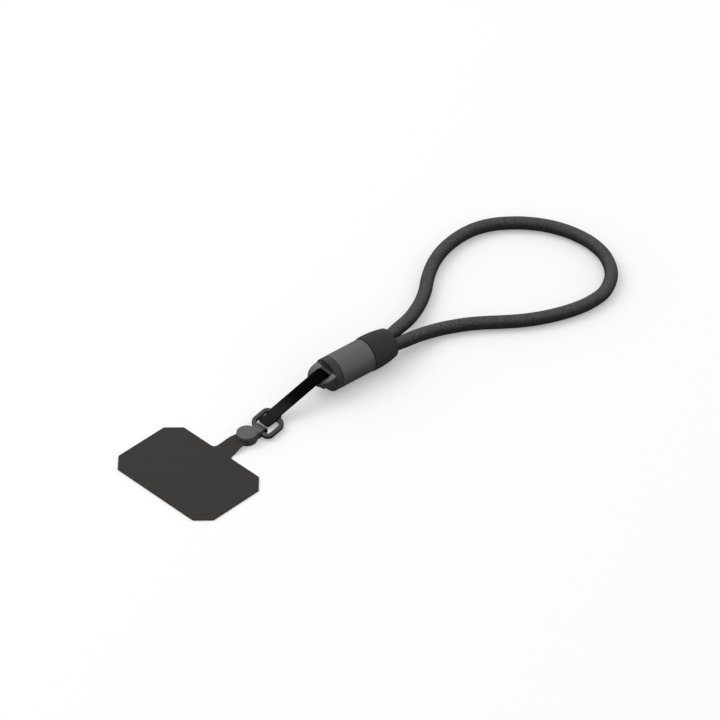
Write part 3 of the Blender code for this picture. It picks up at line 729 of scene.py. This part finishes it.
for index, (here, length) in enumerate(zip(path, lengths)):
    ahead = (path[min(index + 1, len(path) - 1)] - path[max(index - 1, 0)]).normalized()
    normal = Vector((-ahead.y, ahead.x))
    from_end = min((total - length) / band_corner, 1)
    narrow = band_corner * (1 - math.sqrt(1 - (1 - from_end) ** 2))
    thin_end = min((total - length) / band_edge, 1)
    thin = band_edge * (1 - math.sqrt(1 - (1 - thin_end) ** 2)) * 0.9
    half_width = band_width / 2 - narrow
    half_thick = half - thin
    edge = min(band_edge, half_thick * 0.9)
    ring = []
    for turn in range(4):
        for step in range(5):
            angle = math.pi / 2 * (turn + step / 4)
            inside = math.pi / 2 * (turn + 0.5)
            y = math.copysign(half_width - edge, math.cos(inside)) + edge * math.cos(angle)
            z = math.copysign(half_thick - edge, math.sin(inside)) + edge * math.sin(angle)
            at = here + normal * z
            ring.append(band_place @ Vector((at.x, y, at.y)))
    rings.append(ring)
work = bmesh.new()
skin(work, rings, cap_first=True, cap_last=True)

eye_x = -band_span - band_eye_slack / 4
eye_inner = link_wire / 2 + gap


def eye_ring(y, grow):
    """Oblong outline of the band's eye at one place across it."""
    points = []
    for step in range(48):
        angle = math.tau * (step + 0.5) / 48
        x = eye_x + math.copysign(band_eye_slack / 2, math.cos(angle))
        x += (eye_inner + grow) * math.cos(angle)
        z = link_height + (eye_inner + grow) * math.sin(angle)
        points.append(band_place @ Vector((x, y, z)))
    return points


soft = 0.00015
turns = ((1, soft), (1, band_eye_wall - soft), (0.97, band_eye_wall), (-0.97, band_eye_wall))
turns += ((-1, band_eye_wall - soft), (-1, soft), (-0.97, 0), (0.97, 0), (1, soft))
skin(work, [eye_ring(share * band_eye_width / 2, grow) for share, grow in turns])
bmesh.ops.remove_doubles(work, verts=work.verts, dist=1e-7)
bmesh.ops.recalc_face_normals(work, faces=work.faces)
bar_reach = (band_place @ Vector((-band_span, 0, 0))).x
look, tree, shader = new_look("smooth_black_rubber", 0.02)
cloud = noise(tree, 260, 2)
fine = noise(tree, 2200, 2)
colour = blend_colours(tree, cloud, band_dark, band_light)
place_x, _, _ = object_place(tree)
# Painted light and shade: the band is painted nearly black from just past the link towards the cap,
# and keeps its lighter colour, a painted sheen, near the link.
colour = toned(tree, colour, place_x, bar_reach + 0.002, bar_reach + 0.011, 1.0, band_painted_shade_toward_cap)
tree.links.new(colour, shader.inputs["Base Color"])
tree.links.new(calc(tree, "MULTIPLY_ADD", cloud, 0.15, 0.5), shader.inputs["Roughness"])
bump(tree, shader, fine, band_relief)
new_piece("moulded_band", work, look, "band", 40)


# Link: a ring of thick wire bent to a rounded four-sided shape that leans a little, dark plated.
# Its joint is brazed and ground, so it doesn't show.
link_half_length = 0.0058
link_half_width = 0.0062
link_corner = 0.0030
link_lean = 0.387
link_turn = math.radians(8)
link_band_side = 0.0003
wire_squareness = 3
wire_flattening = 0.98
link_dark = (0.052, 0.052, 0.052)
link_light = (0.072, 0.072, 0.072)
bar_place = band_place @ Vector((-band_span, 0, 0))
bar_middle = Vector((link_half_length + link_lean * link_band_side, link_band_side))
bar_middle = Matrix.Rotation(link_turn, 2) @ bar_middle
link_middle = (bar_place.x - bar_middle.x, bar_place.y - bar_middle.y, link_height)
link_place = Matrix.Translation(link_middle) @ Matrix.Rotation(link_turn, 4, "Z")
corners = [(0, link_half_width, 0)]
for x_sign, y_sign in ((-1, 1), (-1, -1), (1, -1), (1, 1)):
    corners.append((x_sign * link_half_length, y_sign * link_half_width, link_corner))
corners += [(0, link_half_width, 0)]
route = [Vector((at.x + link_lean * at.y, at.y)) for at in filleted(corners, 14)[:-1]]
rings = []
for index, here in enumerate(route):
    ahead = (route[(index + 1) % len(route)] - route[index - 1]).normalized()
    ring = []
    for step in range(24):
        angle = math.tau * step / 24
        c, s = math.cos(angle), math.sin(angle)
        squared = abs(c) ** wire_squareness + abs(s) ** wire_squareness
        squared **= -1 / wire_squareness
        across = link_wire / 2 * squared * c
        height = link_wire / 2 * squared * s * wire_flattening
        at = (here.x + ahead.y * across, here.y - ahead.x * across, height)
        ring.append(link_place @ Vector(at))
    rings.append(ring)
rings.append(rings[0])
work = bmesh.new()
skin(work, rings)
bmesh.ops.remove_doubles(work, verts=work.verts, dist=1e-7)
bmesh.ops.recalc_face_normals(work, faces=work.faces)
look, tree, shader = new_look("dark_plated_link", 0.5, metallic=0.7)
cloud = noise(tree, 500, 3)
colour = blend_colours(tree, cloud, link_dark, link_light)
tree.links.new(colour, shader.inputs["Base Color"])
tree.links.new(calc(tree, "MULTIPLY_ADD", cloud, 0.2, 0.25), shader.inputs["Roughness"])
new_piece("plated_link", work, look, "link_ring", 60)


# Clasp: a thick round of satin metal cast in one with a long eye. The eye holds the link, and a
# pocket cut into the round from the tab's side grips the tab's neck.
clasp_radius = 0.00465
clasp_thickness = 0.0045
clasp_edge = 0.0003
eye_wall = 0.0006
eye_edge = 0.00018
eye_body_width = 0.0052
eye_side = -0.0009
eye_hole_length = 0.0036
eye_hole_height = 0.0026
eye_room = 0.0007
eye_setback = 0.0053
link_clasp_side = 0.0009
near_bar = Vector((-link_half_length + link_lean * link_clasp_side, link_clasp_side, 0))
near_bar = link_place @ near_bar
hole_start = near_bar.x - link_wire / 2 - eye_room
neck_height = clasp_thickness / 2
clasp_place = Vector((hole_start - eye_setback, near_bar.y, neck_height))
tab_thickness = 0.0006
neck_insert = 0.0019
neck_end_width = 0.0062
neck_flare = 0.25
neck_near_flare = 0.08
clasp_dark = (0.096, 0.096, 0.096)
clasp_light = (0.110, 0.110, 0.110)
clasp_relief = 0.000008
eye_end_painted_shade = 0.3
neck_end = clasp_place.x + neck_insert


def level_rims(work):
    """The edges round the top and the bottom of a flat plate or disc."""
    return [edge for edge in work.edges if abs(edge.verts[0].co.z - edge.verts[1].co.z) < 1e-9]


def oblong_bar(low_x, high_x, radius, width):
    """A bar with round ends in side view, lying across the strap, with softened rims."""
    outline = []
    for step in range(64):
        angle = math.tau * (step + 0.5) / 64
        middle = high_x - radius if math.cos(angle) > 0 else low_x + radius
        outline.append((middle + radius * math.cos(angle), radius * math.sin(angle)))
    work = plate(outline, -width / 2, width / 2)
    round_off(work, level_rims(work), eye_edge, 1)
    upright = Matrix.Translation((0, clasp_place.y + eye_side, link_height))
    upright = upright @ Matrix.Rotation(math.pi / 2, 4, "X")
    bmesh.ops.transform(work, verts=work.verts, matrix=upright)
    return work


work = bmesh.new()
bmesh.ops.create_cone(
    work,
    cap_ends=True,
    segments=96,
    radius1=clasp_radius,
    radius2=clasp_radius,
    depth=clasp_thickness,
)
round_off(work, level_rims(work), clasp_edge, 4)
bmesh.ops.translate(work, verts=work.verts, vec=clasp_place)
disc = solid_from(work, "clasp_disc")
eye_radius = eye_hole_height / 2 + eye_wall
eye_root = clasp_place.x + clasp_radius / 2
eye_end = hole_start + eye_hole_length + eye_wall
work = oblong_bar(eye_root, eye_end, eye_radius, eye_body_width)
eye_body = solid_from(work, "eye_body")
hole_end = hole_start + eye_hole_length
work = oblong_bar(hole_start, hole_end, eye_hole_height / 2, 2 * clasp_radius)
eye_hole = solid_from(work, "eye_hole")
reach = 2 * clasp_radius
pocket_end = neck_end + gap
half = neck_end_width / 2 + gap
outline = [
    (pocket_end - reach, -half - reach * neck_near_flare),
    (pocket_end, -half),
    (pocket_end, half),
    (pocket_end - reach, half + reach * neck_flare),
]
pocket_half = tab_thickness / 2 + gap
work = plate(outline, -pocket_half, pocket_half)
bmesh.ops.translate(work, verts=work.verts, vec=(0, clasp_place.y, clasp_place.z))
pocket = solid_from(work, "neck_pocket")
work = combine(disc, [("UNION", eye_body), ("DIFFERENCE", eye_hole), ("DIFFERENCE", pocket)])
look, tree, shader = new_look("satin_clasp", 0.5, metallic=0.4)
cloud = noise(tree, 400, 3)
fine = noise(tree, 2600, 2)
colour = blend_colours(tree, cloud, clasp_dark, clasp_light)
place_x, _, _ = object_place(tree)
disc_end = clasp_place.x + clasp_radius
# Painted shade: the eye is painted darker towards its far end.
colour = toned(tree, colour, place_x, disc_end, eye_end - eye_wall, 1.0, eye_end_painted_shade)
tree.links.new(colour, shader.inputs["Base Color"])
tree.links.new(calc(tree, "MULTIPLY_ADD", cloud, 0.14, 0.38), shader.inputs["Roughness"])
bump(tree, shader, fine, clasp_relief)
new_piece("satin_clasp", work, look, "clasp", 30)


# Tab: a thin flexible sheet of dark, matte plastic, cut to a plate with trimmed corners that goes
# behind the phone, and a neck that passes the case's charging opening and rises to the clasp.
tab_width = 0.0600
tab_length = 0.0397
tab_chamfer = 0.0063
tab_corner = 0.0010
tab_edge = 0.00012
neck_reach = 0.0141
neck_base_width = 0.0102
neck_fillet = 0.0018
neck_drift = 0.0003
tab_dark = (0.0345, 0.0322, 0.0292)
tab_light = (0.0395, 0.0368, 0.0338)
tab_relief = 0.00002
plate_edge = clasp_place.x - neck_reach
plate_low = plate_edge - tab_length
half_width = tab_width / 2
base = neck_base_width / 2
end = neck_end_width / 2
half_plate = (
    (plate_low, half_width - tab_chamfer, tab_corner),
    (plate_low + tab_chamfer, half_width, tab_corner),
    (plate_edge - tab_chamfer, half_width, tab_corner),
    (plate_edge, half_width - tab_chamfer, tab_corner),
)
corners = [(plate_low, 0, 0)]
corners += half_plate
corners += [(plate_edge, base - neck_drift, neck_fillet)]
corners += [(neck_end, clasp_place.y + end, end / 2), (neck_end, clasp_place.y - end, end / 2)]
corners += [(plate_edge, -base - neck_drift, neck_fillet)]
corners += [(x, -y, radius) for x, y, radius in reversed(half_plate)]
corners += [(plate_low, 0, 0)]
work = plate(filleted(corners, 8)[:-1], 0, tab_thickness)
round_off(work, level_rims(work), tab_edge, 3)
rise_start = plate_edge + neck_fillet / 2
rise_end = clasp_place.x - clasp_radius
bends = 28
for bend in range(bends + 1):
    cut_x = rise_start + (rise_end - rise_start) * bend / bends
    everything = work.verts[:] + work.edges[:] + work.faces[:]
    bmesh.ops.bisect_plane(work, geom=everything, plane_co=(cut_x, 0, 0), plane_no=(1, 0, 0))
for corner in work.verts:
    share = min(max((corner.co.x - rise_start) / (rise_end - rise_start), 0), 1)
    corner.co.z += share * share * (3 - 2 * share) * (neck_height - tab_thickness / 2)
look, tree, shader = new_look("matte_tab_sheet", 0.15)
shader.inputs["Roughness"].default_value = 0.8
cloud = noise(tree, 120, 3)
fine = noise(tree, 2400, 3)
colour = blend_colours(tree, cloud, tab_dark, tab_light)
tree.links.new(colour, shader.inputs["Base Color"])
bump(tree, shader, fine, tab_relief)
new_piece("matte_tab", work, look, "phone_tab", 30)


# Floor and light: a plain white table with a faint glow under a soft sky, and one broad lamp
# high on the left behind the strap. They aren't part of the strap.
table_white = 0.69
table_glow = 0.26
sky_below = 0.06
sky_above = 0.86
sky_fade = 0.15
lamp_place = Vector((-0.5, 1.3, 1.7))
lamp_target = Vector((0.05, 0, 0))
lamp_size = 1.6
lamp_power = 14
work = bmesh.new()
bmesh.ops.create_grid(work, x_segments=1, y_segments=1, size=3)
mesh = bpy.data.meshes.new("table")
work.to_mesh(mesh)
work.free()
look, tree, shader = new_look("white_table", 0.5)
shader.inputs["Roughness"].default_value = 0.9
shader.inputs["Base Color"].default_value = (table_white, table_white, table_white, 1)
shader.inputs["Emission Color"].default_value = (1, 1, 1, 1)
shader.inputs["Emission Strength"].default_value = table_glow
mesh.materials.append(look)
table = bpy.data.objects.new("table", mesh)
table.location.z = -0.0001
bpy.context.scene.collection.objects.link(table)
table.visible_diffuse = False
table.visible_glossy = False

world = bpy.data.worlds.new("studio")
world.use_nodes = True
tree = world.node_tree
backdrop = tree.nodes["Background"]
backdrop.inputs["Color"].default_value = (1, 1, 1, 1)
direction = tree.nodes.new("ShaderNodeTexCoord")
split = tree.nodes.new("ShaderNodeSeparateXYZ")
tree.links.new(direction.outputs["Generated"], split.inputs["Vector"])
fade = tree.nodes.new("ShaderNodeMapRange")
fade.inputs["From Min"].default_value = -sky_fade
fade.inputs["From Max"].default_value = sky_fade
fade.inputs["To Min"].default_value = sky_below
fade.inputs["To Max"].default_value = sky_above
tree.links.new(split.outputs["Z"], fade.inputs["Value"])
tree.links.new(fade.outputs["Result"], backdrop.inputs["Strength"])
bpy.context.scene.world = world

light = bpy.data.lights.new("key", "AREA")
light.shape = "DISK"
light.size = lamp_size
light.energy = lamp_power
lamp = bpy.data.objects.new("key", light)
lamp.location = lamp_place
lamp.rotation_euler = (lamp_target - lamp_place).to_track_quat("-Z", "Y").to_euler()
bpy.context.scene.collection.objects.link(lamp)
bpy.context.scene.view_settings.view_transform = "Standard"
